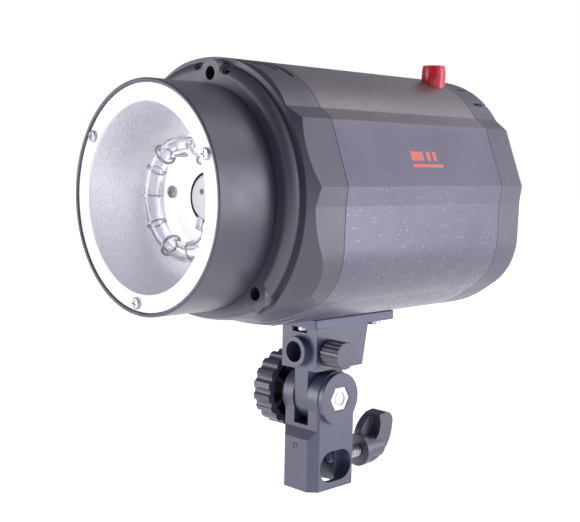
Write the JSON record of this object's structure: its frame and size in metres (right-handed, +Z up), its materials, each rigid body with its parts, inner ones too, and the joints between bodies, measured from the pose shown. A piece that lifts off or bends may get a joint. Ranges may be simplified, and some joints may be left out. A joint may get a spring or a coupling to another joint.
{
  "type": "monolight strobe",
  "caption": "Studio flash head with a round reflector hood, ring flash tube, rear controls and a tilting stand bracket with an umbrella holder.",
  "frame": {"origin": "centre of the stand socket's mouth, on the socket's axis", "axes": "+Z up, out of the stand; the lamp points along -Y; +X is the side with the umbrella lock knob"},
  "size_m": [0.1156, 0.178, 0.1877],
  "materials": {
    "housing_plastic": "moulded, fine grain",
    "shell_paint": "dark grey metallic paint with bright flecks",
    "panel_paint": "satin dark panel",
    "hood_paint": "matt black paint",
    "white_enamel": "gloss white",
    "reflector_metal": "pebbled bright aluminium",
    "screw_steel": "bright plated",
    "screw_black": "black oxide",
    "bolt_zinc": "zinc plated",
    "plate_metal": "plain sheet",
    "tube_glass": "clear polished glass",
    "electrode_metal": "dark tungsten grey",
    "wire_metal": "fine drawn wire",
    "holder_ceramic": "unglazed white",
    "contact_brass": "bright brass",
    "capacitor_sleeve": "shrink sleeve",
    "board_laminate": "green laminate",
    "inner_plastic": "natural nylon",
    "component_plastic": "moulded component",
    "lead_insulation": "silicone insulation",
    "sensor_red": "clear red moulding",
    "knob_plastic": "moulded black",
    "button_plastic": "gloss red",
    "rocker_plastic": "gloss black",
    "led_green": "clear green lens",
    "bracket_plastic": "glass-filled moulding"
  },
  "bodies": {
    "stand": {"stand_bracket": "bracket_plastic", "tilt_bolt": "bolt_zinc", "friction_washers": "inner_plastic"},
    "head": {"front_housing": "housing_plastic", "main_shell": "shell_paint", "rear_cover": "housing_plastic", "rear_panel": "panel_paint", "front_screws": "screw_steel", "rear_screws": "screw_black", "hood_tube": "hood_paint", "reflector_ring": "white_enamel", "reflector_dish": "reflector_metal", "ring_screws": "screw_steel", "lamp_base": "white_enamel", "base_screws": "screw_steel", "bulkhead": "plate_metal", "flash_tube": "tube_glass", "tube_electrodes": "electrode_metal", "tube_clips": "screw_steel", "trigger_wire": "wire_metal", "lampholder": "holder_ceramic", "holder_contacts": "contact_brass", "holder_clips": "screw_steel", "main_capacitor": "capacitor_sleeve", "capacitor_strap": "plate_metal", "main_board": "board_laminate", "board_standoffs": "inner_plastic", "board_parts": "component_plastic", "trigger_coil": "component_plastic", "tube_leads": "lead_insulation", "sensor_window": "sensor_red", "sensor_diode": "component_plastic", "dial_shaft": "plate_metal", "test_bezel": "knob_plastic", "ready_led": "led_green", "sync_jack": "screw_steel", "model_switch_frame": "knob_plastic", "power_switch_frame": "knob_plastic", "mains_inlet": "knob_plastic", "inlet_pins": "contact_brass", "panel_screws": "screw_black", "fuse_holder": "knob_plastic", "mount_plate": "bracket_plastic", "plate_screws": "screw_steel", "upper_bracket": "bracket_plastic"},
    "tilt_washer": {"tilt_washer": "bolt_zinc"},
    "tilt_knob": {"tilt_knob": "knob_plastic", "knob_insert": "contact_brass"},
    "stand_lock_screw": {"stand_lock_screw": "bolt_zinc"},
    "wing_knob": {"wing_knob": "knob_plastic"},
    "umbrella_lock_screw": {"umbrella_lock_screw": "screw_steel"},
    "umbrella_lock_knob": {"umbrella_lock_knob": "knob_plastic"},
    "power_dial": {"power_dial": "knob_plastic"},
    "test_button": {"test_button": "button_plastic"},
    "model_rocker": {"model_rocker": "rocker_plastic"},
    "power_rocker": {"power_rocker": "rocker_plastic"},
    "fuse_cap": {"fuse_cap": "knob_plastic", "fuse": "tube_glass"}
  },
  "joints": [
    {"name": "head_tilt", "type": "hinge", "parent": "stand", "child": "head", "pos_m": [0, 0.0003, 0.0408], "axis": [1, 0, 0], "range_deg": [-50, 85]},
    {"name": "tilt_washer_travel", "type": "slide", "parent": "stand", "child": "tilt_washer", "axis": [-1, 0, 0], "range_m": [0, 0.002]},
    {"name": "tilt_knob_turn", "type": "hinge", "parent": "tilt_washer", "child": "tilt_knob", "pos_m": [0, 0.0003, 0.0408], "axis": [-1, 0, 0], "range_deg": [0, 720]},
    {"name": "stand_screw_travel", "type": "slide", "parent": "stand", "child": "stand_lock_screw", "axis": [0, 1, 0], "range_m": [-0.002, 0.004]},
    {"name": "wing_knob_turn", "type": "hinge", "parent": "stand_lock_screw", "child": "wing_knob", "pos_m": [0, 0.03, 0.0101], "axis": [0, 1, 0], "range_deg": [-720, 1440]},
    {"name": "umbrella_screw_travel", "type": "slide", "parent": "head", "child": "umbrella_lock_screw", "axis": [1, 0, 0], "range_m": [-0.0004, 0.0032]},
    {"name": "umbrella_knob_turn", "type": "hinge", "parent": "umbrella_lock_screw", "child": "umbrella_lock_knob", "pos_m": [0.016, -0.0055, 0.0618], "axis": [1, 0, 0], "range_deg": [-180, 1440]},
    {"name": "power_dial_turn", "type": "hinge", "parent": "head", "child": "power_dial", "pos_m": [0, 0.074, 0.1452], "axis": [0, -1, 0], "range_deg": [-135, 135]},
    {"name": "test_button_press", "type": "slide", "parent": "head", "child": "test_button", "axis": [0, -1, 0], "range_m": [0, 0.0015], "stiffness_N_per_m": 400, "springref_m": -0.0005},
    {"name": "model_rocker_tip", "type": "hinge", "parent": "head", "child": "model_rocker", "pos_m": [-0.024, 0.0672, 0.1332], "axis": [1, 0, 0], "range_deg": [0, 20]},
    {"name": "power_rocker_tip", "type": "hinge", "parent": "head", "child": "power_rocker", "pos_m": [0.028, 0.0672, 0.1142], "axis": [1, 0, 0], "range_deg": [0, 20]},
    {"name": "fuse_cap_turn", "type": "hinge", "parent": "head", "child": "fuse_cap", "pos_m": [-0.0313, 0.07, 0.1122], "axis": [0, 1, 0], "range_deg": [0, 90]}
  ],
  "couplings": [
    {"joint": "tilt_washer_travel", "follows": "tilt_knob_turn", "m_per_rad": 0.00015915},
    {"joint": "stand_screw_travel", "follows": "wing_knob_turn", "m_per_rad": 0.00015915},
    {"joint": "umbrella_knob_turn", "follows": "umbrella_screw_travel", "rad_per_m": 7854}
  ]
}
